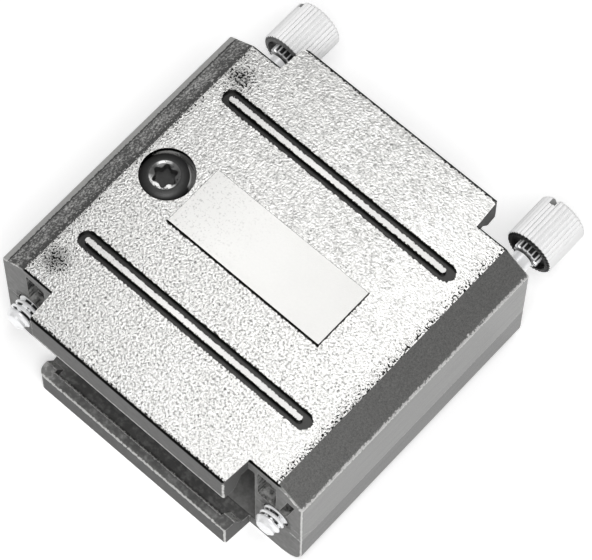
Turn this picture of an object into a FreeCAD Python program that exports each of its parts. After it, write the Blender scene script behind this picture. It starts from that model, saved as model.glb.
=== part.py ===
import FreeCAD, Part
import math
import os

# Die-cast hood in two half shells for two 15-way D connectors, one at each end.
# The shells trap the connector flanges behind the rims of four lips, and one
# six-lobe screw closes them. Two long captive thumbscrews run the whole length,
# from a knurled knob behind the rear corners to a thread at the mating end.
#
# Origin: centre of the underside. X runs from one thumbscrew to the other,
# -Y is the mating end, +Z is up. Sizes are in millimetres.

V = FreeCAD.Vector

# Connector that the hood is made for, by its standard
flange_width = 39.14
flange_height = 12.55
screw_pitch = 33.32
thread_radius = 1.42

# Play that the casting leaves around the connector and between its own pieces
flange_side_play = 0.46
flange_play = 0.45
fit_gap = 0.1
seat_gap = 0.1
running_gap = 0.06
press_gap = 0.02

# Casting walls
roof_wall = 2.0
end_wall = 1.8
rim_wall = 1.2
post_wall = 1.16
inner_round = 1.2

# Body outline
body_length = 33.74
bevel_width = 3.15
bevel_drop = 1.9
bevel_round = 0.2
base_round = 2.9
end_round = 0.25
inner_bevel_width = 1.6
inner_bevel_drop = 0.95

# Lips that carry the connector flanges
lip_reach = 3.4
lip_root_inset = 0.8
lip_taper = 0.25
lip_edge_round = 0.3
lip_inner_round = 0.6
upper_corner_round = 0.3
rear_corner_round = 1.0
lower_left_round = 1.0
lower_right_round = 0.3
front_rim_height = 4.25
rear_rim_height = 3.35
lower_rim_height = 3.55
flange_slot = 1.03
rim_block_slope = 0.9
rim_block_length = 1.6

# Parting between the shells, stepped down along the side walls
side_parting_drop = 1.7
step_length = 1.8
tongue_wall = 0.75
tongue_height = 1.0
tongue_end_inset = 1.2

# Channels and corner posts around the thumbscrews
channel_width = 3.2
screw_hole_radius = 1.6
post_length = 5.6
pocket_depth = 1.25
pocket_border = 0.35
pocket_rise = 1.8
pocket_roof = 1.35
cleft_foot = 17.05
cleft_width = 0.95
cleft_lean = 1.1
cleft_rise = 4.2

# Marks cast into the top face
mark_shift = 0.33
label_length = 20.0
label_width = 7.4
label_height = 0.2
label_draft = 0.1
ring_straight = 28.6
ring_spread = 21.12
ring_radius = 0.98
ring_groove = 0.63
ring_left_gap = 0.75
ring_right_gap = 1.1
ring_depth = 0.5
ring_shift = -0.15

# Closing screw and its bosses
closing_offset = 3.16
counterbore_radius = 2.93
counterbore_depth = 2.15
counterbore_wall = 0.95
counterbore_skirt = 1.5
boss_radius = 2.7
closing_shank_radius = 1.45
closing_hole_gap = 0.15
closing_thread_gap = 0.05
closing_shank_length = 12.0
closing_head_radius = 2.65
closing_head_height = 2.05
closing_head_bevel = 0.5
star_core_radius = 1.03
star_lobe_radius = 0.34
star_lobe_reach = 1.04
star_depth = 1.25
star_lobes = 6

# Hooks that hold the shells together on the side away from the closing screw
hook_wall = 1.0
hook_width = 3.0
hook_spread = 14.0
hook_floor_gap = 1.3
nose_reach = 0.8
nose_height = 1.8
catch_wall = 1.0
catch_margin = 1.0
catch_top_gap = 0.5

# Stiffening ribs inside roof and floor
rib_wall = 0.9
rib_depth = 0.7
rib_spread = 11.0
rib_start = -8.6
rib_end = 10.6

# Thumbscrew
thread_length = 5.5
tip_reach = 2.0
tip_chamfer = 0.35
neck_radius = 1.1
neck_clearance = 0.22
clip_groove_radius = 0.8
collar_radius = 1.5
collar_length = 0.5
knob_stand = 4.33
knob_radius = 2.73
knob_length = 5.7
knob_chamfer = 0.3
flute_count = 24
flute_depth = 0.22
flute_width = 0.5
knob_slot_width = 0.8
knob_slot_depth = 0.9
knob_recess_radius = 2.2
knob_recess_depth = 0.5
knob_end_wall = 0.55
knob_turn_right = 115
knob_turn_left = 145

# Retaining clip
clip_height = 6.4
clip_wall = 0.6

# Places worked out from the sizes above
width = flange_width + 2 * flange_side_play
half_width = width / 2
height = flange_height + flange_play + 2 * roof_wall
mid_z = height / 2
roof_z = height - roof_wall
end_y = body_length / 2
inner_end_y = end_y - end_wall
screw_x = screw_pitch / 2
inner_half = screw_x + channel_width / 2
channel_x = screw_x - channel_width / 2
port_half = channel_x - post_wall
lip_root_half = port_half - lip_root_inset
side_parting_z = mid_z - side_parting_drop
closing_x = closing_offset - screw_x
counterbore_z = height - counterbore_depth
overshoot = 1.0


def box(x0, x1, y0, y1, z0, z1):
    return Part.makeBox(x1 - x0, y1 - y0, z1 - z0, V(x0, y0, z0))


def rod_y(x, z, radius, y0, y1):
    return Part.makeCylinder(radius, y1 - y0, V(x, y0, z), V(0, 1, 0))


def rod_z(x, y, radius, z0, z1):
    return Part.makeCylinder(radius, z1 - z0, V(x, y, z0), V(0, 0, 1))


def xz(a, b):
    return V(a, 0, b)


def yz(a, b):
    return V(0, a, b)


def xy(a, b):
    return V(a, b, 0)


def rounded_face(corners, plane):
    # Closed outline from (a, b, corner radius) triples, in the given plane.
    points = [plane(a, b) for a, b, radius in corners]
    count = len(points)
    starts, ends, arcs = [], [], []
    for i in range(count):
        corner = points[i]
        back = (points[i - 1] - corner).normalize()
        ahead = (points[(i + 1) % count] - corner).normalize()
        radius = corners[i][2]
        half_angle = back.getAngle(ahead) / 2
        reach = radius / math.tan(half_angle)
        starts.append(corner + back * reach)
        ends.append(corner + ahead * reach)
        middle = corner + (back + ahead).normalize() * (radius / math.sin(half_angle) - radius)
        arcs.append(Part.Arc(starts[i], middle, ends[i]).toShape() if radius > 0 else None)
    edges = []
    for i in range(count):
        if arcs[i] is not None:
            edges.append(arcs[i])
        edges.append(Part.LineSegment(ends[i], starts[(i + 1) % count]).toShape())
    return Part.Face(Part.Wire(edges))


def prism(corners, plane, start, direction):
    face = rounded_face(corners, plane)
    face.translate(start)
    return face.extrude(direction)


def both_ends(solid):
    return solid.fuse(solid.mirror(V(0, 0, 0), V(0, 1, 0)))


def both_sides(solid):
    return solid.fuse(solid.mirror(V(0, 0, 0), V(1, 0, 0)))


def outer_body():
    section = [
        (-half_width, 0, base_round),
        (half_width, 0, base_round),
        (half_width, height - bevel_drop, bevel_round),
        (half_width - bevel_width, height, 0),
        (bevel_width - half_width, height, 0),
        (-half_width, height - bevel_drop, bevel_round),
    ]
    body = prism(section, xz, V(0, -end_y, 0), V(0, body_length, 0))
    ends = [edge for edge in body.Edges if abs(edge.CenterOfMass.y) > inner_end_y]
    return body.makeFillet(end_round, ends)


def inner_space():
    section = [
        (-inner_half, roof_wall, inner_round),
        (inner_half, roof_wall, inner_round),
        (inner_half, roof_z - inner_bevel_drop, 0),
        (inner_half - inner_bevel_width, roof_z, 0),
        (inner_bevel_width - inner_half, roof_z, 0),
        (-inner_half, roof_z - inner_bevel_drop, 0),
    ]
    return prism(section, xz, V(0, -inner_end_y, 0), V(0, 2 * inner_end_y, 0))


def port():
    reach = end_y + overshoot
    return box(-port_half, port_half, -reach, reach, roof_wall, roof_z)


def corner_posts():
    # Walls that part the thumbscrew channels from the wiring space near the ends.
    post = box(port_half, channel_x, inner_end_y - post_length, inner_end_y, roof_wall, roof_z)
    return both_ends(both_sides(post))


def screw_holes():
    hole = rod_y(screw_x, mid_z, screw_hole_radius, inner_end_y - overshoot, end_y + overshoot)
    return both_ends(both_sides(hole))


def lip_plan(corner_left, corner_right):
    tip_half = lip_root_half - lip_taper
    plan = [
        (-lip_root_half, inner_end_y, 0),
        (lip_root_half, inner_end_y, 0),
        (lip_root_half, end_y, 0),
        (tip_half, end_y + lip_reach, corner_right),
        (-tip_half, end_y + lip_reach, corner_left),
        (-lip_root_half, end_y, 0),
    ]
    return prism(plan, xy, V(0, 0, 0), V(0, 0, height))


def rim_section(rim_height, foot, root, inner_round):
    # Roof of a lip and its rim, seen along X.
    tip = end_y + lip_reach
    section = [
        (inner_end_y, height, 0),
        (tip, height, lip_edge_round),
        (tip, height - rim_height, lip_edge_round),
        (foot, height - rim_height, lip_edge_round),
        (root, roof_z, inner_round),
        (inner_end_y, roof_z, 0),
    ]
    return prism(section, yz, V(-half_width, 0, 0), V(width, 0, 0))


def lip_section(rim_height):
    # The flange lies against the end wall, held by the thicker ends of the rim.
    thin = end_y + lip_reach - rim_wall
    root = end_y + flange_slot
    rim = rim_section(rim_height, thin, thin, lip_inner_round)
    block = rim_section(rim_height, root + rim_block_slope, root, 0)
    reach = lip_root_half - rim_block_length
    far = end_y + lip_reach + overshoot
    return rim.fuse(block.cut(box(-reach, reach, inner_end_y - overshoot, far, 0, height + overshoot)))


def upper_lips():
    rear_plan = lip_plan(rear_corner_round, upper_corner_round)
    front_plan = lip_plan(upper_corner_round, upper_corner_round)
    rear = lip_section(rear_rim_height).common(rear_plan)
    front = lip_section(front_rim_height).common(front_plan)
    return rear.fuse(front.mirror(V(0, 0, 0), V(0, 1, 0)))


def lower_lips():
    section = lip_section(lower_rim_height)
    lip = section.common(lip_plan(lower_left_round, lower_right_round))
    flipped = lip.mirror(V(0, 0, mid_z), V(0, 0, 1))
    return both_ends(flipped)


def below_parting():
    # Everything that belongs to the lower shell: mid-height at the end walls,
    # lower along the side walls, with a sloping step between the two.
    reach = end_y + overshoot
    centre = box(-inner_half, inner_half, -reach, reach, -overshoot, mid_z)
    line = [
        (-reach, -overshoot, 0),
        (reach, -overshoot, 0),
        (reach, mid_z, 0),
        (end_y, mid_z, 0),
        (end_y - step_length, side_parting_z, 0),
        (step_length - end_y, side_parting_z, 0),
        (-end_y, mid_z, 0),
        (-reach, mid_z, 0),
    ]
    side = prism(line, yz, V(inner_half, 0, 0), V(half_width, 0, 0))
    return centre.fuse(both_sides(side))


def walls():
    solid = outer_body().cut(inner_space()).cut(port())
    solid = solid.fuse(corner_posts())
    return solid.cut(screw_holes())


def tongues(gap):
    # Locating tongues of the lower shell, or with a gap the rebates above them.
    reach = inner_end_y - tongue_end_inset + gap
    outer = inner_half + tongue_wall + gap
    top = side_parting_z + tongue_height + gap
    bar = box(inner_half, outer, -reach, reach, side_parting_z - overshoot, top)
    return both_sides(bar)


def neck_channel():
    radius = neck_radius + neck_clearance
    return both_sides(rod_y(screw_x, mid_z, radius, -inner_end_y, inner_end_y))


def upper_boss():
    head_radius = counterbore_radius + counterbore_wall
    head_floor = counterbore_z - counterbore_skirt
    boss = rod_z(closing_x, mark_shift, boss_radius, mid_z, roof_z)
    return boss.fuse(rod_z(closing_x, mark_shift, head_radius, head_floor, roof_z))


def upper_boss_holes():
    radius = closing_shank_radius + closing_hole_gap
    hole = rod_z(closing_x, mark_shift, radius, mid_z - overshoot, height)
    sink = rod_z(closing_x, mark_shift, counterbore_radius, counterbore_z, height + overshoot)
    return hole.fuse(sink)


def lower_boss():
    return rod_z(closing_x, mark_shift, boss_radius, roof_wall, mid_z)


def lower_boss_hole():
    radius = closing_shank_radius + closing_thread_gap
    floor_z = counterbore_z - closing_shank_length - closing_thread_gap
    return rod_z(closing_x, mark_shift, radius, floor_z, mid_z + overshoot)


def hook_places():
    return [-hook_spread / 2, hook_spread / 2]


def hook(y):
    # Lug that hangs from the roof and noses into the window of its catch.
    outer = port_half - catch_wall - fit_gap
    bottom = roof_wall + hook_floor_gap
    section = [
        (outer - hook_wall, roof_z, 0),
        (outer - hook_wall, bottom, 0),
        (outer, bottom, 0),
        (outer + nose_reach, bottom + nose_reach, 0),
        (outer + nose_reach, bottom + nose_height, 0),
        (outer, bottom + nose_height, 0),
        (outer, roof_z, 0),
    ]
    return prism(section, xz, V(0, y - hook_width / 2, 0), V(0, hook_width, 0))


def catch(y):
    half = hook_width / 2
    inner = port_half - catch_wall
    reach = half + catch_margin
    wall = box(inner, port_half, y - reach, y + reach, roof_wall, mid_z - catch_top_gap)
    window_top = roof_wall + hook_floor_gap + nose_height + fit_gap
    window = box(inner, port_half, y - half - fit_gap, y + half + fit_gap, roof_wall, window_top)
    return wall.cut(window)


def rib(y, z0, z1):
    return box(rib_start, rib_end, y - rib_wall / 2, y + rib_wall / 2, z0, z1)


def roof_ribs():
    rear = rib(rib_spread / 2, roof_z - rib_depth, roof_z)
    return both_ends(rear)


def floor_ribs():
    rear = rib(rib_spread / 2, roof_wall, roof_wall + rib_depth)
    return both_ends(rear)


def stadium(x0, x1, y, radius, z0, z1):
    bar = box(x0, x1, y - radius, y + radius, z0, z1)
    return bar.fuse(rod_z(x0, y, radius, z0, z1)).fuse(rod_z(x1, y, radius, z0, z1))


def ring_mark(y):
    # Long groove round a bar that stays level with the top face.
    x0 = ring_shift - ring_straight / 2
    x1 = ring_shift + ring_straight / 2
    bar_radius = ring_radius - ring_groove
    bar_x0 = x0 - ring_radius + ring_left_gap + bar_radius
    bar_x1 = x1 + ring_radius - ring_right_gap - bar_radius
    outer = stadium(x0, x1, y, ring_radius, height - ring_depth, height + overshoot)
    return outer.cut(stadium(bar_x0, bar_x1, y, bar_radius, 0, height + overshoot))


def ring_marks():
    rear = ring_mark(mark_shift + ring_spread / 2)
    front = ring_mark(mark_shift - ring_spread / 2)
    return rear.fuse(front)


def pad_section(middle, half):
    return [
        (middle - half - label_draft, height - label_draft, 0),
        (middle + half + label_draft, height - label_draft, 0),
        (middle + half + label_draft, height, 0),
        (middle + half, height + label_height, 0),
        (middle - half, height + label_height, 0),
        (middle - half - label_draft, height, 0),
    ]


def label_pad():
    # Bare raised pad with sloping edges, rooted in the roof.
    x = label_length / 2 + label_draft
    y = label_width / 2 + label_draft
    along = prism(pad_section(0, label_length / 2), xz, V(0, mark_shift - y, 0), V(0, 2 * y, 0))
    across = prism(pad_section(mark_shift, label_width / 2), yz, V(-x, 0, 0), V(2 * x, 0, 0))
    return along.common(across)


def corner_pockets():
    # A pocket in each front corner face, and a leaning cleft beside the right one.
    low = mid_z + pocket_rise
    inner = port_half + pocket_border
    front = -end_y - overshoot
    back = pocket_depth - end_y
    pockets = both_sides(box(inner, screw_x, front, back, low, height - pocket_roof))
    cleft = [
        (cleft_foot, low, 0),
        (cleft_foot + cleft_width, low, 0),
        (cleft_foot + cleft_width + cleft_lean, low + cleft_rise, 0),
        (cleft_foot + cleft_lean, low + cleft_rise, 0),
    ]
    return pockets.fuse(prism(cleft, xz, V(0, front, 0), V(0, back - front, 0)))


def upper_shell():
    shell = walls().cut(below_parting()).fuse(upper_lips())
    shell = shell.fuse(upper_boss()).fuse(roof_ribs())
    for y in hook_places():
        shell = shell.fuse(hook(y))
    shell = shell.cut(tongues(fit_gap)).cut(neck_channel())
    shell = shell.cut(upper_boss_holes()).cut(corner_pockets())
    return shell.cut(ring_marks()).fuse(label_pad()).removeSplitter()


def lower_shell():
    shell = walls().common(below_parting()).fuse(lower_lips())
    shell = shell.fuse(tongues(0)).fuse(lower_boss()).fuse(floor_ribs())
    for y in hook_places():
        shell = shell.fuse(catch(y))
    shell = shell.cut(neck_channel()).cut(lower_boss_hole())
    return shell.removeSplitter()


def closing_screw():
    x, y = closing_x, mark_shift
    top = counterbore_z + closing_head_height
    head = rod_z(x, y, closing_head_radius, counterbore_z, top)
    rim = [edge for edge in head.Edges if edge.BoundBox.ZMin > top - fit_gap]
    head = head.makeChamfer(closing_head_bevel, rim)
    shank = rod_z(x, y, closing_shank_radius, counterbore_z - closing_shank_length, counterbore_z)
    star = rod_z(x, y, star_core_radius, top - star_depth, top + overshoot)
    for i in range(star_lobes):
        angle = 2 * math.pi * i / star_lobes
        lobe_x = x + star_lobe_reach * math.cos(angle)
        lobe_y = y + star_lobe_reach * math.sin(angle)
        star = star.fuse(rod_z(lobe_x, lobe_y, star_lobe_radius, top - star_depth, top + overshoot))
    return head.fuse(shank).cut(star).removeSplitter()


def clip_back_y():
    return inner_end_y - seat_gap


def jackscrew():
    # One turned spindle: thread, neck, groove for the clip, collar, seat in the knob.
    tip = -end_y - tip_reach
    knob_face = end_y + knob_stand
    shank_end = knob_face + knob_length - knob_slot_depth - knob_end_wall - press_gap
    groove_front = clip_back_y() - clip_wall - running_gap
    groove_back = clip_back_y() + running_gap
    outline = [
        (0, tip),
        (thread_radius - tip_chamfer, tip),
        (thread_radius, tip + tip_chamfer),
        (thread_radius, tip + thread_length),
        (neck_radius, tip + thread_length),
        (neck_radius, groove_front),
        (clip_groove_radius, groove_front),
        (clip_groove_radius, groove_back),
        (neck_radius, groove_back),
        (neck_radius, knob_face - collar_length),
        (collar_radius, knob_face - collar_length),
        (collar_radius, knob_face + knob_recess_depth),
        (neck_radius, knob_face + knob_recess_depth),
        (neck_radius, shank_end),
        (0, shank_end),
    ]
    points = [V(screw_x + radius, y, mid_z) for radius, y in outline]
    face = Part.Face(Part.makePolygon(points + points[:1]))
    return face.revolve(V(screw_x, 0, mid_z), V(0, 1, 0), 360)


def knob_flutes(y0, y1):
    # V grooves of a straight knurl, cut through the full length of the knob.
    root = knob_radius - flute_depth
    crest = knob_radius + flute_depth
    section = [(root, 0, 0), (crest, -flute_width, 0), (crest, flute_width, 0)]
    flutes = []
    for i in range(flute_count):
        flute = prism(section, xz, V(0, y0, 0), V(0, y1 - y0, 0))
        flute.rotate(V(0, 0, 0), V(0, 1, 0), 360 * (i + 0.5) / flute_count)
        flute.translate(V(screw_x, 0, mid_z))
        flutes.append(flute)
    return Part.Compound(flutes)


def thumb_knob(turn):
    # The turn is that of the screwdriver slot, from +X towards +Z.
    near = end_y + knob_stand
    far = near + knob_length
    outline = [
        (0, near),
        (knob_radius - knob_chamfer, near),
        (knob_radius, near + knob_chamfer),
        (knob_radius, far - knob_chamfer),
        (knob_radius - knob_chamfer, far),
        (0, far),
    ]
    points = [V(screw_x + radius, y, mid_z) for radius, y in outline]
    face = Part.Face(Part.makePolygon(points + points[:1]))
    knob = face.revolve(V(screw_x, 0, mid_z), V(0, 1, 0), 360)
    knob = knob.cut(knob_flutes(near - overshoot, far + overshoot))
    recess = rod_y(screw_x, mid_z, knob_recess_radius, near - overshoot, near + knob_recess_depth)
    bore_end = far - knob_slot_depth - knob_end_wall
    bore = rod_y(screw_x, mid_z, neck_radius + press_gap, near - overshoot, bore_end)
    half_slot = knob_slot_width / 2
    slot = box(screw_x - knob_radius, screw_x + knob_radius, far - knob_slot_depth, far + overshoot,
               mid_z - half_slot, mid_z + half_slot)
    knob = knob.cut(recess).cut(bore).cut(slot)
    knob.rotate(V(screw_x, 0, mid_z), V(0, -1, 0), turn)
    return knob


def retaining_clip():
    # Flat fork pushed over the groove. The channel walls keep it from turning.
    half = channel_width / 2 - fit_gap
    back = clip_back_y()
    front = back - clip_wall
    reach = clip_height / 2
    plate = box(screw_x - half, screw_x + half, front, back, mid_z - reach, mid_z + reach)
    radius = clip_groove_radius + running_gap
    slot = rod_y(screw_x, mid_z, radius, front - overshoot, back + overshoot)
    mouth = box(screw_x - radius, screw_x + radius, front - overshoot, back + overshoot,
                mid_z - reach - overshoot, mid_z)
    return plate.cut(slot).cut(mouth)


def save(name, shape):
    solids = shape.Solids
    if len(solids) != 1 or not shape.isValid():
        print("check", name, len(solids), shape.isValid())
    solids[0].exportStep("parts/" + name + ".step")


def save_pair(name, right, left):
    # Both are made in the right place. The left one is then mirrored to its own.
    save(name + "_right", right)
    save(name + "_left", left.mirror(V(0, 0, 0), V(1, 0, 0)))


os.makedirs("parts", exist_ok=True)
save("upper_shell", upper_shell())
save("lower_shell", lower_shell())
save("closing_screw", closing_screw())
save_pair("jackscrew", jackscrew(), jackscrew())
save_pair("thumb_knob", thumb_knob(knob_turn_right), thumb_knob(180 - knob_turn_left))
save_pair("retaining_clip", retaining_clip(), retaining_clip())
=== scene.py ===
import bpy
import bmesh
import math
from mathutils import Matrix, Vector


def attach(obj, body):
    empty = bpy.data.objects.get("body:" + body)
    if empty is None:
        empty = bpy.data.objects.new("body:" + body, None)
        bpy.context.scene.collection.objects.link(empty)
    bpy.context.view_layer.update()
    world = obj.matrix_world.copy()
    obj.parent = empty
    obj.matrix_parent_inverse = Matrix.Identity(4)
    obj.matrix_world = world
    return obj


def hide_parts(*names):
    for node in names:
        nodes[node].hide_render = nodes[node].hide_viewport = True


# D connector hood of plated die castings, lying with its marked face up.
# The scene is in metres; values written in millimetres are multiplied by mm.

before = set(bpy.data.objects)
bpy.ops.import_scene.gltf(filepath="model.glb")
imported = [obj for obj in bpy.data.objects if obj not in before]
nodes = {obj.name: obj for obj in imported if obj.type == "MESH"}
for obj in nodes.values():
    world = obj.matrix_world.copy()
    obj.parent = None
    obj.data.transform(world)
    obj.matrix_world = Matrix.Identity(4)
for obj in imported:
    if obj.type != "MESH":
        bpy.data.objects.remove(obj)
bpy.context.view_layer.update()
mm = 0.001
wayOut = {"left": -1.0, "right": 1.0}  # along X, from the middle to each thumbscrew and clip

# Places in mm that the castings share with the pieces in them
studX, studZ = 16.66, 8.5  # the thumbscrews' axes, which run along Y
screwX, screwY = -13.5, 0.33  # the closing screw's axis, which is upright


# The view of the photograph
photoView = {
    "azimuth": 42.19,  # degrees round from straight in front of the mating end
    "elevation": 66.14,
    "distance": 355.6,  # mm from the target
    "target": (0.0, 0.55, 7.23),
    "focalLength": 3513.1,  # pixels
    "opticalAxis": (269.2, 295.5),  # pixel where the lens axis meets the picture
    "width": 592,
    "height": 560,
    "sensor": 36.0,
    "clip": (0.01, 20.0),  # metres
}


def makeCamera(view):
    azimuth = math.radians(view["azimuth"])
    elevation = math.radians(view["elevation"])
    back = Vector((math.sin(azimuth) * math.cos(elevation),
                   -math.cos(azimuth) * math.cos(elevation),
                   math.sin(elevation)))
    data = bpy.data.cameras.new("photoCamera")
    data.sensor_width = view["sensor"]
    data.lens = view["focalLength"] / view["width"] * view["sensor"]
    data.shift_x = (view["width"] / 2 - view["opticalAxis"][0]) / view["width"]
    data.shift_y = (view["opticalAxis"][1] - view["height"] / 2) / view["width"]
    data.clip_start, data.clip_end = view["clip"]
    camera = bpy.data.objects.new("photoCamera", data)
    bpy.context.scene.collection.objects.link(camera)
    camera.location = (Vector(view["target"]) + back * view["distance"]) * mm
    camera.rotation_mode = "QUATERNION"
    camera.rotation_quaternion = (-back).to_track_quat("-Z", "Y")
    bpy.context.scene.camera = camera


class Value:  # one socket of a material, so that sums on it are written as Python
    def __init__(self, finish, socket):
        self.finish = finish
        self.socket = socket

    def math(self, operation, other=0.0):
        return self.finish.node("ShaderNodeMath", {"operation": operation}, {0: self, 1: other})

    def __add__(self, other):
        return self.math("ADD", other)

    def __sub__(self, other):
        return self.math("SUBTRACT", other)

    def __rsub__(self, other):
        return self.finish.node("ShaderNodeMath", {"operation": "SUBTRACT"}, {0: other, 1: self})

    def __mul__(self, other):
        return self.math("MULTIPLY", other)

    def __truediv__(self, other):
        return self.math("DIVIDE", other)

    def __neg__(self):
        return self.math("MULTIPLY", -1.0)

    def __abs__(self):
        return self.math("ABSOLUTE")

    def __or__(self, other):  # the larger of two, which joins masks
        return self.math("MAXIMUM", other)

    __radd__ = __add__
    __rmul__ = __mul__


def distance(offX, offY):  # from a centre, of a place that lies so far from it each way
    return (offX * offX + offY * offY).math("SQRT")


def towards(offX, offY, way):  # 1 where that place lies the given way from the centre, -1 opposite
    return (offX * way[0] + offY * way[1]) / distance(offX, offY)


class Finish:  # a material that is built node by node
    def __init__(self, name):
        self.material = bpy.data.materials.new(name)
        self.material.use_nodes = True
        self.tree = self.material.node_tree
        self.tree.nodes.clear()

    def node(self, kind, settings=None, sockets=None, out=0):
        made = self.tree.nodes.new(kind)
        for key, value in (settings or {}).items():
            setattr(made, key, value)
        for key, value in (sockets or {}).items():
            if isinstance(value, Value):
                self.tree.links.new(value.socket, made.inputs[key])
            else:
                made.inputs[key].default_value = value
        if out is None:
            return None
        if isinstance(out, tuple):
            return [Value(self, made.outputs[key]) for key in out]
        return Value(self, made.outputs[out])

    def place(self):  # object coordinates in mm
        return self.scaled(self.node("ShaderNodeTexCoord", out="Object"), (1 / mm, 1 / mm, 1 / mm))

    def facing(self):  # the direction in which the surface faces
        return self.node("ShaderNodeTexCoord", out="Normal")

    def scaled(self, vector, factors):
        return self.node("ShaderNodeVectorMath", {"operation": "MULTIPLY"}, {0: vector, 1: factors})

    def axes(self, vector):
        return self.node("ShaderNodeSeparateXYZ", None, {0: vector}, out=("X", "Y", "Z"))

    def rise(self, value, low, high):  # 0 below low, 1 above high, smooth between
        return self.node("ShaderNodeMapRange", {"interpolation_type": "SMOOTHSTEP"},
                         {"Value": value, "From Min": low, "From Max": high})

    def fall(self, value, low, high):  # 1 below low, 0 above high
        return 1.0 - self.rise(value, low, high)

    def between(self, value, low, high, soft=0.03):  # 1 from low to high, with soft ends
        return self.rise(value, low - soft, low + soft) * self.fall(value, high - soft, high + soft)

    def noise(self, vector, scale, detail=2.0, roughness=0.5, distortion=0.0):
        return self.node("ShaderNodeTexNoise", None,
                         {"Vector": vector, "Scale": scale, "Detail": detail,
                          "Roughness": roughness, "Distortion": distortion})

    def mix(self, factor, first, second):  # numbers
        return self.node("ShaderNodeMix", {"data_type": "FLOAT"}, {0: factor, 2: first, 3: second})

    def tinted(self, brightness, tint):  # a colour of that brightness
        return self.node("ShaderNodeVectorMath", {"operation": "SCALE"}, {0: tint, "Scale": brightness})

    def bump(self, height):  # height in mm
        return self.node("ShaderNodeBump", None, {"Height": height, "Distance": mm, "Strength": 1.0})

    def shader(self, sockets):
        surface = self.node("ShaderNodeBsdfPrincipled", None, sockets)
        self.node("ShaderNodeOutputMaterial", None, {"Surface": surface}, out=None)
        return self.material


# Nickel-plated casting: both half shells. Lengths in mm from the middle of the
# underside, tones from 0 to 1.
plating = {
    # where the castings' surfaces lie
    "top": 17.0,
    "bodyEnd": 16.87,
    "lipEnd": 20.27,
    "lipHalf": 13.05,
    "upperLip": 8.0,  # height over which a lip belongs to the upper shell
    "lipFloor": (2.4, 3.3),  # heights of a lower lip's floor and of its rim
    "portHalf": 13.9,
    "channel": (18.4, 15.1),  # reach of the thumbscrews' channels, across and along
    "inside": (1.9, 15.06),  # heights of the floor and the roof inside
    "pocket": {"side": (14.1, 19.4), "back": 15.5, "floor": 10.0, "roof": (15.8, 15.0), "step": 16.7},
    "bevelTop": 16.9,  # distance from the middle at which the marked face turns into the bevel
    "bevelFoot": 15.1,  # height at which the bevel meets the side wall
    "rimFoot": 12.75,  # height of the front rim's lower edge
    "parting": 6.8,  # height of the line between the shells on the side walls
    "rightWall": 19.5,  # the right-hand wall lies beyond this
    "topBand": (16.45, 16.95),  # heights of the light band on the faces round the thumbscrews
    # what stands on the marked face
    "markShift": 0.33,
    "pad": (10.0, 3.7),  # half sizes of the bare label pad
    "ring": {"half": 14.3, "shift": -0.15, "spread": 10.56, "inner": 0.35, "outer": 0.98},
    "ringArea": (16.5, 13.0),  # the ring marks lie within this, across and along
    "sunkWall": (2.0, 3.1),  # radii between which the wall round the screw is seen
    "litSide": (0.74, 0.67),  # way from the closing screw to the lit part of that wall
    "stains": ((-15.4, 13.2), (-15.4, -13.9)),
    "stainEdge": (0.8, 2.4),
    "rearward": (-6.0, 8.0),  # along Y, where the grain grows broader
    "levelling": (20.0, 34.0),  # towards the right front corner, where the pits grow shallow
    "paintedBrightening": ((5.0, 16.0), (-5.0, 14.0)),  # along X, and more so along Y, where painted light brightens the marked face
    "fleckFade": (-9.0, 0.0),  # along X on the pad, where the flecks end
    "padFade": (-4.0, 9.0),  # along X on the pad, where it grows darker
    "lipFloorLitEnd": (9.0, 12.5),  # towards -X on the lower lips, where painted light makes them lighter
    # grain
    "grain": 4.0,  # grains per mm of the sand-cast face
    "grainHeight": 0.055,
    "fineHeight": 0.007,
    "pitDepth": 2.6,
    # tones; the bevels, side walls, end faces, lips, pockets, grooves and the inside are set darker than
    # the marked face as painted shade on the one plating, and the edge lines and the lit wall carry
    # painted highlights
    "tint": (1.0, 0.995, 0.975),
    "topTone": 0.82,
    "padTone": 0.79,
    "bevelTone": 0.665,
    "sideTone": 0.195,
    "upperWall": 0.94,  # shares of the side wall's tone
    "lowerWallShade": (0.80, 0.46),  # left and right, darkened as painted shade
    "cornerTone": 0.265,
    "lipEndTone": 0.115,
    "lipSideTone": 0.09,
    "lipFloorTone": 0.095,
    "rimTone": 0.15,
    "grooveShadeTone": 0.045,
    "insideShadeTone": 0.19,
    "pocketTone": 0.20,
    "edgeHighlightTone": 0.68,
    "edgeHighlightWidth": 0.12,
    "litWallTone": 0.85,
    "blackTone": 0.02,
    # left bevel, darker than the right as painted shade, from the side wall inwards: how far out each
    # stretch lies, and its tone
    "rimOut": (19.25, 19.35),
    "outerTone": (0.40, 0.14),  # darkest, and what the grain adds
    "lineOut": (19.15, 19.32),
    "darkLineTone": 0.05,
    "speckledTone": (0.10, 0.56),
    "borderOut": (17.3, 17.7),
    "borderTone": 0.08,
    "fringeOut": 16.7,
    "fringeTone": 0.60,
    # gloss
    "roughTop": 0.38,
    "roughSide": 0.30,
    "roughDull": 0.6,
    "dulling": 0.85,  # how far dull faces lose their metallic sheen, which would hide their tone
}


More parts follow.
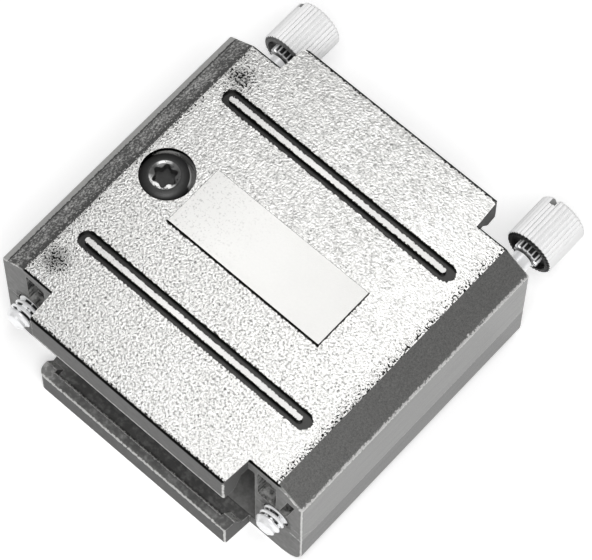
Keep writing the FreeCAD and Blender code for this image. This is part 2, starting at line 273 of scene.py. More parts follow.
def castingAreas(finish, look):  # where each kind of surface lies, as masks from 0 to 1
    rise, fall, between = finish.rise, finish.fall, finish.between
    spot = finish.place()
    x, y, z = finish.axes(spot)
    faceX, faceY, faceZ = finish.axes(finish.facing())
    side, along = abs(x), abs(y)
    top, end, port, ring = look["top"], look["bodyEnd"], look["portHalf"], look["ring"]
    upward = rise(faceZ, 0.96, 0.99)
    overrun = (abs(x - ring["shift"]) - ring["half"]).math("MAXIMUM", 0.0)
    ringRadius = distance(overrun, abs(y - look["markShift"]) - ring["spread"])
    area = {
        "spot": spot, "x": x, "y": y, "z": z, "side": side, "along": along,
        "faceX": faceX, "faceY": faceY, "faceZ": faceZ, "ringRadius": ringRadius,
        "marked": upward * rise(z, top - 0.12, top - 0.05),
        "pad": upward * rise(z, top + 0.08, top + 0.12),
        "bar": upward * fall(ringRadius, ring["inner"], ring["inner"] + 0.02),
        "browShade": rise(z, top - 0.3, top - 0.15) * (1.0 - upward) * rise(abs(faceY), 0.1, 0.25),
        "bevel": between(faceZ, 0.6, 0.92, 0.05) * rise(abs(faceX), 0.3, 0.45),
        "ends": rise(abs(faceY), 0.6, 0.8),
        "lips": rise(along, end - 0.03, end + 0.03),
        "upperHalf": rise(z, look["upperLip"], look["upperLip"] + 1.0),
    }

    acrossRings, alongRings = look["ringArea"]
    depth = rise(z, top - 0.7, top - 0.55) * fall(z, top - 0.1, top - 0.03)
    area["groove"] = (depth * fall(along, alongRings, alongRings + 0.1)
                      * fall(side, acrossRings, acrossRings + 0.1))

    channelSide, channelEnd = look["channel"]
    hollow = fall(side, port, port + 0.05) * fall(along, end - 0.1, end - 0.05)
    channel = fall(side, channelSide, channelSide + 0.1) * fall(along, channelEnd, channelEnd + 0.1)
    area["inside"] = (hollow | channel) * between(z, *look["inside"], 0.02)

    pocket = look["pocket"]
    roof = finish.mix(rise(side, pocket["step"], pocket["step"] + 0.1), *pocket["roof"])
    area["pocket"] = (between(y, -end + 0.04, -pocket["back"], 0.02) * between(side, *pocket["side"])
                      * rise(z, pocket["floor"], pocket["floor"] + 0.1) * fall(z - roof, -0.02, 0.02))

    area["smooth"] = area["pad"] | area["bar"]
    area["leftBevel"] = area["bevel"] * rise(-x, look["bevelTop"] - 0.4, look["bevelTop"] - 0.1)
    area["lipFloor"] = area["lips"] * rise(faceZ, 0.3, 0.5) * (1.0 - area["upperHalf"])
    area["plain"] = ((area["ends"] | area["lips"])
                     * (1.0 - area["marked"]) * (1.0 - area["browShade"]) * (1.0 - area["groove"]))
    area["dull"] = area["inside"] | area["pocket"] | area["plain"] | area["leftBevel"]
    return area


def castingGrain(finish, look, spot):  # the patterns that the tones share
    size = look["grain"]
    return {
        "coarse": finish.noise(spot, size, 1.6, 0.6, 0.3),
        "broad": finish.noise(spot, size * 0.64, 1.6, 0.5, 0.3),
        "fine": finish.noise(spot, size * 2.3, 1.0, 0.5),
        "patches": finish.noise(spot, 0.45, 2.0, 0.5),
        "blotches": finish.noise(spot, 1.7, 2.0, 0.6),
        "cloud": finish.noise(spot, 0.09, 2.0, 0.5),
        "streaks": finish.noise(finish.scaled(spot, (1.0, 0.12, 2.5)), 0.9, 3.0, 0.6),
    }


def castingEdgeHighlights(finish, look, area, coarse):  # painted highlights along the edges
    rise, between = finish.rise, finish.between
    z, faceX, faceY, faceZ = area["z"], area["faceX"], area["faceY"], area["faceZ"]
    uneven = coarse - 0.5
    slant = (abs(faceX * faceY) | abs(faceY * faceZ)) * 2.0
    rounded = rise(slant + uneven * 1.6, 0.62, 0.85)
    foot = between(z + uneven * 0.5, look["bevelFoot"] - 0.09, look["bevelFoot"] + 0.13)
    foot = foot * rise(area["x"], look["rightWall"], look["rightWall"] + 0.2)
    rim = between(z + uneven * 0.5, look["rimFoot"] + 0.2, look["rimFoot"] + 0.48)
    rim = rim * rise(area["along"], look["lipEnd"] - 0.27, look["lipEnd"] - 0.17)
    seam = between(z + uneven * 0.3, look["parting"] - 0.12, look["parting"] + 0.16)
    beyond = look["channel"][0]
    seam = seam * area["ends"] * rise(area["x"], beyond, beyond + 0.3) * rise(coarse, 0.40, 0.50)
    soft = finish.node("ShaderNodeBevel", {"samples": 6}, {"Radius": look["edgeHighlightWidth"] * mm})
    hard = finish.node("ShaderNodeNewGeometry", out="Normal")
    alike = finish.node("ShaderNodeVectorMath", {"operation": "DOT_PRODUCT"}, {0: soft, 1: hard}, "Value")
    sharp = rise(1.0 - alike, 0.01, 0.10) * rise(coarse, 0.40, 0.52)
    line = rounded | foot | rim | seam * 0.8 | sharp * 0.6
    line = line * (1.0 - area["lips"] * rise(area["y"], 0.0, 1.0) * 0.8)  # the rear lips get little painted highlight
    return line * finish.fall(z, look["top"] - 0.7, look["top"] - 0.5) * (1.0 - area["inside"])


def castingSpecksAndShade(finish, look, area, coarse):  # black specks round the stains; painted shade as ragged black along the edges into the bevel and the ends and along the ring grooves; and the raised pad's painted shadow below and beside it
    x, y, side, along = area["x"], area["y"], area["side"], area["along"]
    rise, fall, between = finish.rise, finish.fall, finish.between
    uneven = coarse - 0.5
    # painted shade: ragged black along the edges into the bevel and the end faces
    border = rise(coarse - (look["bevelTop"] - side) * 0.14 + rise(x, -1.0, 1.0) * 0.06, 0.54, 0.58)
    besideLips = rise(side, look["lipHalf"], look["lipHalf"] + 0.05)
    endLine = finish.mix(besideLips, look["lipEnd"], look["bodyEnd"]) - 0.3
    ends = rise(coarse - (endLine - along) * 0.9 - besideLips * 0.12, 0.47, 0.52)
    padX, padY = side - look["pad"][0], abs(y - look["markShift"]) - look["pad"][1]
    # painted shadow of the raised pad along its -Y and +X edges
    below = between(padY + uneven * 0.3, 0.03, 0.22) * fall(padX, 0.1, 0.2) * rise(-y, 0.0, 0.1)
    beside = between(padX + uneven * 0.4, 0.04, 0.14) * fall(padY, 0.1, 0.2) * rise(x, 0.0, 0.1)
    ring = look["ring"]
    # painted shade: black along the ring grooves
    groove = between(area["ringRadius"] + uneven * 0.5, ring["inner"] - 0.06, ring["outer"] + 0.05)
    specksAndShade = border | ends | groove | below | beside
    for stainX, stainY in look["stains"]:
        away = distance(x - stainX, y - stainY)
        specksAndShade = specksAndShade | rise(coarse - away * 0.075, 0.46, 0.51)
    return specksAndShade * area["marked"] * (1.0 - area["pad"])


def shadedLeftBevelTone(finish, look, area, coarse):  # painted shade on the left bevel, darker than the right one: smooth rim, dark line, speckled middle, dark border
    rise, mix, side, uneven = finish.rise, finish.mix, area["side"], coarse - 0.5
    streaks = finish.noise(finish.scaled(area["spot"], (1.0, 0.4, 1.0)), 2.6, 3.0, 0.7)
    patches = finish.noise(area["spot"], 0.5, 1.0, 0.5)
    speckled = rise(coarse * 0.75 + streaks * 0.35 + patches * 0.2, 0.56, 0.90)
    darkest, contrast = look["speckledTone"]
    outer, outerContrast = look["outerTone"]
    tone = mix(rise(side, *look["rimOut"]), darkest + speckled * contrast, outer + coarse * outerContrast)
    tone = mix(finish.fall(side + uneven * 1.6, *look["borderOut"]), tone, look["borderTone"])
    # the marked face's grain runs over the bevel's inner border
    fringe = rise(coarse - (side - look["fringeOut"]) * 0.35, 0.46, 0.54)
    tone = mix(fringe, tone, look["fringeTone"])
    return mix(finish.between(side + uneven * 0.4, *look["lineOut"]), tone, look["darkLineTone"])


def wallTone(finish, look, area, grain):  # drawn side walls, with a dark line where the shells meet and painted shade on the lower shell's wall, deeper on the right
    z, parting = area["z"], look["parting"]
    seam = finish.between(z, parting - 0.1, parting + 0.02)
    lower = finish.mix(finish.rise(area["x"], -1.0, 1.0), *look["lowerWallShade"])
    shell = finish.mix(finish.rise(z, parting - 0.1, parting + 0.1), lower, look["upperWall"])
    drawn = (grain["streaks"] - 0.5) * 0.6 + (grain["fine"] - 0.5) * 0.6
    return look["sideTone"] * (shell + drawn - seam * 0.15)


def markedTone(finish, look, area, grain):  # pitted face, brighter with painted light and smoother to the right
    x, y, rise = area["x"], area["y"], finish.rise
    rear = rise(y, *look["rearward"])
    depth = look["pitDepth"] * (1.2 - rear * 0.3) * (1.0 - rise(x - y, *look["levelling"]) * 0.55)
    pits = (finish.mix(rear * 0.55, grain["coarse"], grain["broad"]) - 0.5) * depth
    pits = pits * (0.6 + grain["patches"] * 0.8) + (grain["fine"] - 0.5) * 0.25
    brightX, brightY = look["paintedBrightening"]
    # painted light: brighter towards +X, more so towards +Y; the real stains below then dim it
    lightAndStains = 1.0 + rise(x, *brightX) * (0.08 + rise(y, *brightY) * 0.24)
    for stainX, stainY in look["stains"]:
        away = distance(x - stainX, y - stainY)
        lightAndStains = lightAndStains * (0.6 + rise(away + grain["blotches"], *look["stainEdge"]) * 0.4)
    return (look["topTone"] * lightAndStains * (1.0 + pits)).math("MINIMUM", 1.0)


def smoothTone(finish, look, area, grain):  # label pad, and the bars inside the ring marks
    x, coarse = area["x"], grain["coarse"]
    flecks = finish.rise(0.5 - coarse, 0.06, 0.2) * finish.fall(x, *look["fleckFade"]) * 0.25
    darker = 1.0 - finish.rise(x, *look["padFade"]) * 0.17
    return look["padTone"] * (0.99 + coarse * 0.06) * (1.0 - flecks) * darker


def cornerTone(finish, look, area, grain):  # faces round the thumbscrews, with painted shade at each stud
    z, blotches = area["z"], grain["blotches"]
    aroundStud = distance(area["side"] - studX, z - studZ)
    blotchedTone = look["cornerTone"] * (0.25 + grain["patches"] * 0.7 + blotches * 0.8)
    band = finish.between(z + grain["coarse"] * 0.3, *look["topBand"]) * (1.0 - area["lips"])
    # painted shade round each stud
    shade = finish.fall(aroundStud + blotches * 1.2 - z * 0.1, 1.35, 2.0)
    return finish.mix(shade, finish.mix(band, blotchedTone, look["cornerTone"] * 1.5), look["blackTone"] * 2.0)


def lipTone(finish, look, area, grain):
    front = look["lipEndTone"] * (0.44 + area["upperHalf"] * 0.31 + grain["blotches"] * 0.6)
    return finish.mix(area["ends"], look["lipSideTone"], front)


def lipFloorTone(finish, look, area, grain):  # lower lips: the floor and the rim along its edge, in painted shade, lighter towards -X with painted light
    onRim = finish.rise(area["z"], *look["lipFloor"])
    tone = finish.mix(onRim, look["lipFloorTone"], look["rimTone"] * (0.5 + grain["patches"]))
    mottled = 0.8 + finish.rise(grain["blotches"], 0.4, 0.75) * 0.9
    return tone * mottled * (1.0 + finish.rise(-area["x"], *look["lipFloorLitEnd"]) * 0.9)


def sunkWall(finish, look, area):  # mask and tone of the wall round the closing screw: painted shade in black, with a painted highlight on its lit side
    offX, offY = area["x"] - screwX, area["y"] - screwY
    radius = distance(offX, offY)
    inner, outer = look["sunkWall"]
    within = finish.fall(radius, outer, outer + 0.05)
    lit = finish.rise(towards(offX, offY, look["litSide"]), 0.84, 0.92)
    lit = lit * within * finish.rise(radius, inner, inner + 0.1)
    return within * (1.0 - area["marked"]), finish.mix(lit, look["blackTone"], look["litWallTone"])


def brightTone(finish, look, area, grain):  # the faces with a metallic sheen
    mix = finish.mix
    bevel = look["bevelTone"] * (0.25 + grain["fine"] * 0.8 + grain["coarse"] * 0.7)
    tone = mix(area["bevel"], wallTone(finish, look, area, grain), bevel)
    tone = mix(area["marked"], tone, markedTone(finish, look, area, grain))
    tone = mix(area["smooth"], tone, smoothTone(finish, look, area, grain))
    # painted shade: black just under the top edge
    tone = mix(area["browShade"], tone, look["blackTone"])
    # painted shade and highlight on the wall round the closing screw
    wall, wallShadeAndHighlight = sunkWall(finish, look, area)
    tone = mix(wall, tone, wallShadeAndHighlight)
    # painted shade in the ring grooves
    return mix(area["groove"], tone, look["grooveShadeTone"])


def dullTone(finish, look, area, grain):  # inside, pockets, end faces, lips and the left bevel, all darkened with painted shade
    mix, blotches = finish.mix, grain["blotches"]
    endFaces = mix(area["lips"], cornerTone(finish, look, area, grain), lipTone(finish, look, area, grain))
    # painted shade inside the hood; end faces and lips elsewhere
    tone = mix(area["plain"], look["insideShadeTone"] * (0.5 + blotches), endFaces)
    tone = mix(area["pocket"], tone, look["pocketTone"] * finish.rise(blotches, 0.25, 0.75) * 2.0)
    tone = mix(area["lipFloor"], tone, lipFloorTone(finish, look, area, grain))
    return mix(area["leftBevel"], tone, shadedLeftBevelTone(finish, look, area, grain["coarse"]))


def platedCasting(look):
    finish = Finish("platedCasting")
    mix = finish.mix
    area = castingAreas(finish, look)
    grain = castingGrain(finish, look, area["spot"])
    lines = castingEdgeHighlights(finish, look, area, grain["coarse"])
    specksAndShade = castingSpecksAndShade(finish, look, area, grain["coarse"])
    tone = mix(area["dull"], brightTone(finish, look, area, grain), dullTone(finish, look, area, grain))
    # painted highlights along the edges, then black specks and painted shade
    tone = mix(specksAndShade, mix(lines, tone, look["edgeHighlightTone"]), look["blackTone"])
    tone = tone * (0.92 + grain["cloud"] * 0.16)
    glossy = mix(area["marked"], look["roughSide"], look["roughTop"])
    grainy = area["marked"] * (1.0 - area["smooth"]) + area["leftBevel"] * 0.8 + area["bevel"] * 0.12
    height = grain["coarse"] * grainy * look["grainHeight"] + grain["fine"] * look["fineHeight"]
    return finish.shader({"Base Color": finish.tinted(tone, look["tint"]),
                          "Metallic": 1.0 - (area["dull"] | lines) * look["dulling"],
                          "Roughness": mix(area["dull"], glossy, look["roughDull"]),
                          "Normal": finish.bump(height)})


# Hidden clips of spring steel
clip = {
    "tone": 0.45,
    "roughness": 0.35,
    "tint": (1.0, 0.995, 0.985),
}


def springSteel(look):
    finish = Finish("springSteel")
    spot = finish.place()
    tone = look["tone"] * (0.92 + finish.noise(spot, 0.8, 2.0, 0.5) * 0.16)
    return finish.shader({"Base Color": finish.tinted(tone, look["tint"]), "Metallic": 1.0,
                          "Roughness": look["roughness"],
                          "Normal": finish.bump(finish.noise(spot, 12.0, 3.0, 0.6) * 0.004)})


def wear(node, material):
    for slot in nodes[node].material_slots:
        slot.material = material


castFinish = platedCasting(plating)
wear("upper_shell", castFinish)
wear("lower_shell", castFinish)
clipFinish = springSteel(clip)
for side in wayOut:
    wear("retaining_clip_" + side, clipFinish)
print("castings and clips done")


middle = (0.0, 0.0, 0.0)
lengthwise = (0.0, 1.0, 0.0)  # the thumbscrews are drawn about this axis, then put in place


def allOf(work):
    return list(work.verts) + list(work.edges) + list(work.faces)


def shift(work, verts, step):  # by a step in mm
    bmesh.ops.translate(work, verts=verts, vec=[part * mm for part in step])


def drawn(work, outline):  # half outline of (radius, along) points in mm
    points = [work.verts.new((radius * mm, along * mm, 0.0)) for radius, along in outline]
    return points + [work.edges.new(pair) for pair in zip(points, points[1:])]


def putInOrder(work):  # edges and faces, by their corners
    work.verts.index_update()
    count = len(work.verts)

    def rank(part):
        number = 0
        for index in sorted(vert.index for vert in part.verts)[:3]:
            number = number * count + index
        return number

    work.edges.sort(key=rank)
    work.faces.sort(key=rank)


def swept(work, outline, steps, turns=1, pitch=0.0):  # spin orders what it makes anew in each run
    bmesh.ops.spin(work, geom=drawn(work, outline), cent=middle, axis=lengthwise,
                   dvec=(0.0, pitch * mm / steps, 0.0), angle=2 * math.pi * turns,
                   steps=steps * turns, use_merge=pitch == 0.0)
    putInOrder(work)


def mergeSeams(work):
    bmesh.ops.remove_doubles(work, verts=work.verts, dist=0.0005 * mm)


def mend(work):  # seams merged, then every face turned outwards
    mergeSeams(work)
    bmesh.ops.recalc_face_normals(work, faces=work.faces)


def pour(work, part):  # puts a part's mesh into the work
    spare = bpy.data.meshes.new("spare")
    part.to_mesh(spare)
    part.free()
    work.from_mesh(spare)
    bpy.data.meshes.remove(spare)


def cutAcross(work, along, side):  # takes away what lies on that side of the plane, and closes it
    bmesh.ops.bisect_plane(work, geom=allOf(work), plane_co=(0.0, along * mm, 0.0),
                           plane_no=(0.0, side, 0.0), clear_outer=True)
    rim = [edge for edge in work.edges if edge.is_boundary
           and all(abs(vert.co.y - along * mm) < 0.001 * mm for vert in edge.verts)]
    bmesh.ops.contextual_create(work, geom=rim)


def radiusOf(vert):
    return math.hypot(vert.co.x, vert.co.z) / mm


def turnOf(vert, parts):  # how far round it lies, counted in parts of the full turn
    return math.atan2(vert.co.z, vert.co.x) / (2 * math.pi) * parts


def drawIn(vert, share):  # moves it towards the axis, to that share of its radius
    vert.co.x *= share
    vert.co.z *= share


def makePiece(name, work, material, body, replaced, sharpAngle=32):
    mesh = bpy.data.meshes.new(name)
    work.to_mesh(mesh)
    work.free()
    mesh.polygons.foreach_set("use_smooth", [True] * len(mesh.polygons))
    mesh.set_sharp_from_angle(angle=math.radians(sharpAngle))
    mesh.materials.append(material)
    piece = bpy.data.objects.new(name, mesh)
    bpy.context.scene.collection.objects.link(piece)
    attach(piece, body)
    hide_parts(replaced)


# Turned spindle with its real thread, sizes in mm
spindle = {
    "tip": {"left": -19.4, "right": -18.87},  # the photograph's left one stands out further
    "threadEnd": -13.37,
    "pitch": 0.635,
    "crest": 1.42,
    "root": 1.10,
    "crestPart": (0.40, 0.56),  # shares of the pitch between which the crest lies
    "tipRadius": 0.55,
    "tipRound": 1.0,
    "steps": 40,
    "neck": 1.1,
    "clipGroove": (0.8, 14.31, 15.03),  # radius, front and back
    "collarGroove": (0.85, 20.45, 20.72),
    "collar": (1.5, 21.7),  # radius and back
    "collarEdge": 0.1,
    "grooveEdge": 0.08,
    "splines": 14,
    "splineShare": 0.4,  # of the way round, that the splines take up
    "splineDepth": 0.28,
    "end": 25.43,
    "shown": (16.9, 20.4),  # stretch behind the hood that gets a painted glow
    "gaps": (20.85, 1.3),  # front and radius of the painted shade between the splines
    "tone": 0.86,
    "tint": (0.985, 0.99, 1.0),
    "metallic": 0.25,
    "roughness": 0.28,
    "glint": 0.16,
    "shadeTone": 0.03,
}


def putInPlace(work, side):  # from the drawing axis to the thumbscrew's own
    shift(work, work.verts, (wayOut[side] * studX, 0.0, studZ))


def threadedEnd(values, tip):
    work = bmesh.new()
    pitch, start = values["pitch"], tip - 2 * values["pitch"]
    turns = math.ceil((values["threadEnd"] - start) / pitch) + 1
    crestStart, crestEnd = values["crestPart"]
    flank = [(values["root"], start), (values["crest"], start + crestStart * pitch),
             (values["crest"], start + crestEnd * pitch), (values["root"], start + pitch)]
    swept(work, flank, values["steps"], turns, pitch)
    mergeSeams(work)
    shoulder = tip + values["tipRound"]
    bmesh.ops.bisect_plane(work, geom=allOf(work), plane_co=(0.0, shoulder * mm, 0.0), plane_no=lengthwise)
    cutAcross(work, tip, -1.0)
    cutAcross(work, values["threadEnd"], 1.0)
    for vert in work.verts:  # the rounded nose
        depth = max(0.0, (shoulder * mm - vert.co.y) / (values["tipRound"] * mm))
        bulge = math.sqrt(max(0.0, 1.0 - depth ** 2))
        limit = values["tipRadius"] + (values["crest"] - values["tipRadius"]) * bulge
        if radiusOf(vert) > limit:
            drawIn(vert, limit / radiusOf(vert))
    return work


def splinedCollar(values):
    back, radius, edge = values["collarGroove"][2], values["collar"][0], values["collarEdge"]
    collar = bmesh.new()
    swept(collar, [(0.0, back), (radius - edge, back), (radius, back + edge),
                   (radius, values["collar"][1]), (0.0, values["collar"][1])], values["splines"] * 4)
    for vert in collar.verts:  # every second pair of lines sinks to a gap between two splines
        inGap = turnOf(vert, values["splines"]) % 1.0 > values["splineShare"]
        if inGap and radiusOf(vert) > values["neck"]:
            drawIn(vert, 1.0 - values["splineDepth"] / radiusOf(vert))
    return collar


def makeSpindle(side, values, material):
    neck, start, end = values["neck"], values["threadEnd"], values["end"]
    clipRadius, clipFront, clipBack = values["clipGroove"]
    collarNeck, neckFront, neckBack = values["collarGroove"]
    edge, collarEnd = values["collarEdge"], values["collar"][1]
    work = threadedEnd(values, values["tip"][side])
    swept(work, [(0.0, start), (neck, start),
                 (neck, clipFront), (clipRadius, clipFront), (clipRadius, clipBack), (neck, clipBack),
                 (neck, neckFront), (collarNeck, neckFront + values["grooveEdge"]),
                 (collarNeck, neckBack + edge), (collarNeck, collarEnd + edge),
                 (neck, collarEnd + edge), (neck, end), (0.0, end)], values["steps"])
    pour(work, splinedCollar(values))
    mend(work)
    putInPlace(work, side)
    makePiece("spindle" + side.capitalize(), work, material, "thumbscrew_" + side, "jackscrew_" + side)


def spindleFinish(side, values):  # bright metal, with painted shade in the thread, beside the collar and between the splines, and a painted glow on the nose and behind the hood
    finish = Finish("brightSpindle" + side.capitalize())
    rise, fall, between = finish.rise, finish.fall, finish.between
    spot = finish.place()
    x, y, z = finish.axes(spot)
    offX, offZ = x - wayOut[side] * studX, z - studZ
    radius = distance(offX, offZ)
    nose = values["tip"][side] + values["tipRound"]
    spots = rise(finish.noise(spot, 1.5, 2.0, 0.6) - offX * wayOut[side] * 0.05, 0.42, 0.52)
    inThread = fall(radius, values["root"] + 0.12, values["root"] + 0.2)
    thread = inThread * between(y, nose, values["threadEnd"]) * spots
    gapFront, gapRadius = values["gaps"]
    gaps = rise(y, gapFront, gapFront + 0.05) * fall(radius, gapRadius, gapRadius + 0.1)
    # painted shade in the thread, in the collar's groove and between the splines
    dark = thread | between(y, *values["collarGroove"][1:]) | gaps
    tone = values["tone"] + finish.noise(spot, 0.8, 2.0, 0.5) * 0.1
    tone = finish.mix(dark, tone, values["shadeTone"])
    shown = fall(y, nose, nose + 2.0) + between(y, *values["shown"])
    # painted glow on the nose and on the stretch behind the hood
    glint = finish.tinted((1.0 - dark) * shown * values["glint"], (0.98, 0.99, 1.0))
    return finish.shader({"Base Color": finish.tinted(tone, values["tint"]),
                          "Metallic": values["metallic"], "Roughness": values["roughness"],
                          "Emission Color": glint, "Emission Strength": 1.0,
                          "Normal": finish.bump(finish.noise(spot, 12.0, 3.0, 0.6) * 0.004)})


# Knurled knob with its screwdriver slot, sizes in mm
knob = {
    "near": 21.2,
    "length": 5.7,
    "radius": 2.86,
    "teeth": 36,
    "toothDepth": 0.17,
    "chamfer": 0.25,
    "recess": (2.2, 0.5),  # radius and depth
    "slotWidth": 0.8,
    "slotDepth": 0.9,
    "turn": {"right": 115.0, "left": 145.0},  # degrees, of the slot, from +X towards +Z
    "tone": 0.93,
    "slotShadeTone": 0.30,
    "faceShadeTone": {"left": 0.12, "right": 0.015},  # front face and recess, painted shade
    "roughness": 0.42,
}


def knurl(work, values):  # lines at the middle of each step sink to the tooth roots
    for vert in work.verts:
        radius = radiusOf(vert)
        if radius > values["recess"][0] + 0.1:
            depth = abs(turnOf(vert, values["teeth"]) % 1.0 - 0.5) * 2.0
            drawIn(vert, 1.0 - values["toothDepth"] * depth / radius)


def makeKnob(side, values, material):
    near, far = values["near"], values["near"] + values["length"]
    floorY, halfSlot = far - values["slotDepth"], values["slotWidth"] / 2
    radius, chamfer = values["radius"], values["chamfer"]
    recessRadius, recessDepth = values["recess"]
    steps = values["teeth"] * 4
    seat = floorY - 0.01  # the two halves of the far end sink a hair into the rest
    work = bmesh.new()
    swept(work, [(0.0, near + recessDepth), (recessRadius, near + recessDepth), (recessRadius, near),
                 (radius - chamfer, near), (radius, near + chamfer), (radius, floorY),
                 (0.0, floorY)], steps)
    knurl(work, values)
    for half in (1.0, -1.0):  # the far end, on each side of the slot
        cap = bmesh.new()
        swept(cap, [(0.0, seat), (radius, seat), (radius, far - chamfer),
                    (radius - chamfer, far), (0.0, far)], steps)
        knurl(cap, values)
        mend(cap)
        bmesh.ops.bisect_plane(cap, geom=allOf(cap), plane_co=(0.0, 0.0, half * halfSlot * mm),
                               plane_no=(0.0, 0.0, -half), clear_outer=True)
        bmesh.ops.contextual_create(cap, geom=[edge for edge in cap.edges if edge.is_boundary])
        pour(work, cap)
    mend(work)
    turn = Matrix.Rotation(math.radians(-values["turn"][side]), 3, "Y")
    bmesh.ops.rotate(work, verts=work.verts, cent=middle, matrix=turn)
    putInPlace(work, side)
    makePiece("knob" + side.capitalize(), work, material, "thumbscrew_" + side, "thumb_knob_" + side)


def knobFinish(side, values):  # pale plating, with painted shade on its front face, recess and slot
    finish = Finish("paleKnob" + side.capitalize())
    rise, fall = finish.rise, finish.fall
    spot = finish.place()
    x, y, z = finish.axes(spot)
    offX, offZ = x - wayOut[side] * studX, z - studZ
    turn = math.radians(values["turn"][side])
    across = abs(offZ * math.cos(turn) - offX * math.sin(turn))
    near, halfSlot = values["near"], values["slotWidth"] / 2
    recess, recessDepth = values["recess"]
    floorY = near + values["length"] - values["slotDepth"]
    slot = rise(y, floorY - 0.02, floorY) * fall(across, halfSlot + 0.01, halfSlot + 0.03)
    inRecess = fall(distance(offX, offZ), recess + 0.01, recess + 0.05)
    inRecess = inRecess * fall(y, near + recessDepth + 0.1, near + recessDepth + 0.2)
    front = fall(y, near + 0.17, near + 0.22) | inRecess
    cloud = finish.noise(spot, 0.6, 2.0, 0.5)
    streaks = finish.noise(finish.scaled(spot, (1.0, 0.1, 1.0)), 2.6, 2.0, 0.5)
    pale = (values["tone"] + cloud * 0.05 + streaks * 0.06).math("MINIMUM", 1.0)
    tone = finish.mix(front, finish.mix(slot, pale, values["slotShadeTone"]), values["faceShadeTone"][side])
    return finish.shader({"Base Color": finish.tinted(tone, (1.0, 1.0, 1.0)), "Metallic": 0.0,
                          "Roughness": values["roughness"], "Normal": finish.bump(streaks * 0.02)})


for side in wayOut:
    makeSpindle(side, spindle, spindleFinish(side, spindle))
    makeKnob(side, knob, knobFinish(side, knob))
print("thumbscrews done")


# Pan head screw with a six-lobe recess, drawn about Z and built up from rings, in mm
closingScrew = {
    "headShift": (-0.19, -0.18),  # the head lies against the left of its sunk place
    "headTop": 16.9,
    "underside": 14.85,
    "crown": ((1.52, 0.03), (1.6, 0.0), (1.9, 0.03), (2.2, 0.12),  # radius, and drop from the top
              (2.45, 0.27), (2.6, 0.45), (2.65, 0.62)),
    "recessDepth": 1.25,
    "recessEdge": 0.26,  # depth at which the recess opens out to the crown
    "recessTaper": (0.95, 0.98),  # share of the star's size at its floor and at its edge
    "starOuter": 1.375,
    "starInner": 1.0,
    "shank": 1.45,
    "shankEnd": 2.85,
    "wornHighlight": (1.02, 1.6),  # radii between which the rim of the recess is worn, and painted with highlights
    "edge": (2.52, 2.72),  # radii between which the head's edge gets a painted highlight
    "nearHighlightSide": (0.32, -0.95),  # ways from the screw's axis to the painted highlights
    "farHighlightSide": (-0.67, 0.74),
    "edgeHighlightSide": (0.74, 0.67),
    "tone": 0.035,
    "wornHighlightTone": 0.85,
    "metallic": 0.2,
    "rough": (0.45, 0.3),  # black, and where worn and painted with highlights
    "steps": 72,
}


def ringOf(work, values, radius, z):  # closed loop of edges at that height
    made = bmesh.ops.create_circle(work, cap_ends=False, radius=radius * mm, segments=values["steps"])
    shift(work, made["verts"], (0.0, 0.0, z))
    return [edge for edge in work.edges if all(end in made["verts"] for end in edge.verts)]


def starOf(work, values, share, z):  # the same, as a six-lobe star
    loop = ringOf(work, values, share, z)
    for vert in {end for edge in loop for end in edge.verts}:
        wave = 0.5 + 0.5 * math.cos(6 * math.atan2(vert.co.y, vert.co.x))
        reach = values["starInner"] + (values["starOuter"] - values["starInner"]) * wave
        vert.co.x *= reach
        vert.co.y *= reach
    return loop


def makeClosingScrew(values, material):
    work = bmesh.new()
    top, below, shank = values["headTop"], values["underside"], values["shank"]
    floorShare, edgeShare = values["recessTaper"]
    rings = [starOf(work, values, floorShare, top - values["recessDepth"]),
             starOf(work, values, edgeShare, top - values["recessEdge"])]
    rings += [ringOf(work, values, radius, top - drop) for radius, drop in values["crown"]]
    headRadius = values["crown"][-1][0]
    for radius, z in ((headRadius, below), (shank, below), (shank, values["shankEnd"])):
        rings.append(ringOf(work, values, radius, z))
    for inner, outer in zip(rings, rings[1:]):
        bmesh.ops.bridge_loops(work, edges=inner + outer)
    bmesh.ops.contextual_create(work, geom=rings[0])
    bmesh.ops.contextual_create(work, geom=rings[-1])
    mend(work)
    head = [vert for vert in work.verts if vert.co.z > (below + 0.01) * mm
            or math.hypot(vert.co.x, vert.co.y) > (shank + 0.1) * mm]
    shift(work, head, (*values["headShift"], 0.0))
    shift(work, work.verts, (screwX, screwY, 0.0))
    makePiece("blackScrew", work, material, "hood", "closing_screw", 40)


def screwFinish(values):  # black oxide, worn round the recess, with painted highlights on that ring and on the head's edge, and a painted glow on its near side
    finish = Finish("blackScrew")
    rise, between = finish.rise, finish.between
    spot = finish.place()
    x, y, z = finish.axes(spot)
    offX = x - screwX - values["headShift"][0]
    offY = y - screwY - values["headShift"][1]
    radius = distance(offX, offY)
    coarse = finish.noise(spot, 2.6, 3.0, 0.6)
    near = rise(towards(offX, offY, values["nearHighlightSide"]), 0.25, 0.75)
    far = rise(towards(offX, offY, values["farHighlightSide"]), 0.80, 0.95) * rise(radius, 1.34, 1.38) * 0.7
    upper = rise(z, values["headTop"] - 0.3, values["headTop"] - 0.2)
    ring = between(radius, *values["wornHighlight"], 0.06) * upper
    wornHighlight = ring * (near + far + 0.12) * rise(coarse, 0.32, 0.46)
    edge = between(radius, *values["edge"]) * rise(towards(offX, offY, values["edgeHighlightSide"]), 0.86, 0.95)
    wornAndHighlit = (wornHighlight | edge * 0.8).math("MINIMUM", 1.0)
    tone = finish.mix(wornAndHighlit, values["tone"] * (0.7 + coarse * 0.6), values["wornHighlightTone"])
    # painted glow on the near side of the worn ring
    glint = finish.tinted(ring * near * rise(coarse, 0.44, 0.56), (0.5, 0.5, 0.5))
    return finish.shader({"Base Color": finish.tinted(tone, (1.0, 1.0, 0.99)),
                          "Metallic": values["metallic"],
                          "Roughness": finish.mix(wornAndHighlit, *values["rough"]),
                          "Emission Color": glint, "Emission Strength": 1.0,
                          "Normal": finish.bump(finish.noise(spot, 9.0, 2.0, 0.6) * 0.01)})


makeClosingScrew(closingScrew, screwFinish(closingScrew))
print("closing screw done")


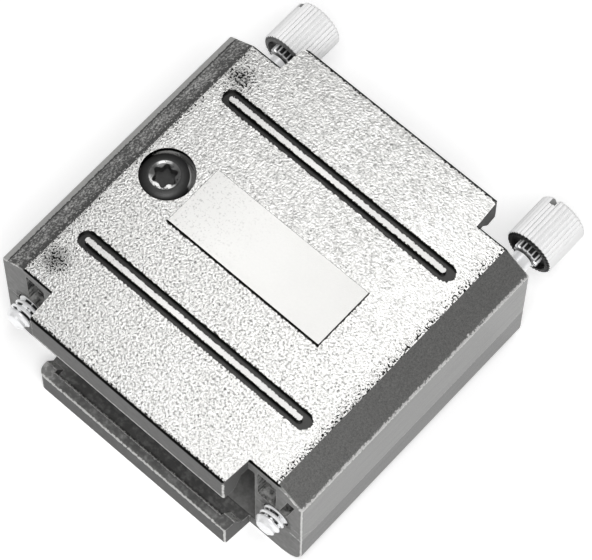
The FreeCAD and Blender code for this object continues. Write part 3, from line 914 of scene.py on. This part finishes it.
# Floor and light, in metres and watts
studio = {
    "floorHalf": 1.5,
    "floorTone": 0.86,
    "floorGlow": 0.42,
    "world": 0.11,
    "key": {"aim": (-0.2716, 0.2997, 0.9146), "from": (0.022, -0.006, 0.017),
            "distance": 0.17, "size": 0.085, "power": 0.046},  # mirrored by the marked face
    "fill": {"aim": (0.30, -0.30, 0.90), "from": (0.0, 0.0, 0.0),
             "distance": 0.62, "size": 0.36, "power": 2.6},  # beside the camera, so shadows hide
}


def softbox(name, values):
    aim = Vector(values["aim"]).normalized()
    data = bpy.data.lights.new(name, "AREA")
    data.shape = "DISK"
    data.size = values["size"]
    data.energy = values["power"]
    light = bpy.data.objects.new(name, data)
    bpy.context.scene.collection.objects.link(light)
    light.location = Vector(values["from"]) + aim * values["distance"]
    light.rotation_mode = "QUATERNION"
    light.rotation_quaternion = aim.to_track_quat("Z", "Y")


def floorPaint(values):
    finish = Finish("paleFloor")
    tone = values["floorTone"] * (0.98 + finish.noise(finish.place(), 0.02, 2.0, 0.5) * 0.03)
    return finish.shader({"Base Color": finish.tinted(tone, (1.0, 1.0, 1.0)), "Roughness": 0.9,
                          "Emission Color": (1.0, 1.0, 1.0, 1.0),
                          "Emission Strength": values["floorGlow"]})


def makeFloor(values):
    sheet = bmesh.new()
    bmesh.ops.create_grid(sheet, x_segments=1, y_segments=1, size=values["floorHalf"])
    mesh = bpy.data.meshes.new("floor")
    sheet.to_mesh(mesh)
    sheet.free()
    mesh.materials.append(floorPaint(values))
    ground = bpy.data.objects.new("floor", mesh)
    bpy.context.scene.collection.objects.link(ground)


def makeLight(values):
    world = bpy.data.worlds.new("studio")
    world.use_nodes = True
    sky = world.node_tree.nodes["Background"]
    sky.inputs["Color"].default_value = (1.0, 1.0, 1.0, 1.0)
    sky.inputs["Strength"].default_value = values["world"]
    bpy.context.scene.world = world
    softbox("keySoftbox", values["key"])
    softbox("fillSoftbox", values["fill"])
    bpy.context.scene.view_settings.view_transform = "Standard"


makeFloor(studio)
makeLight(studio)
makeCamera(photoView)
print("studio done")
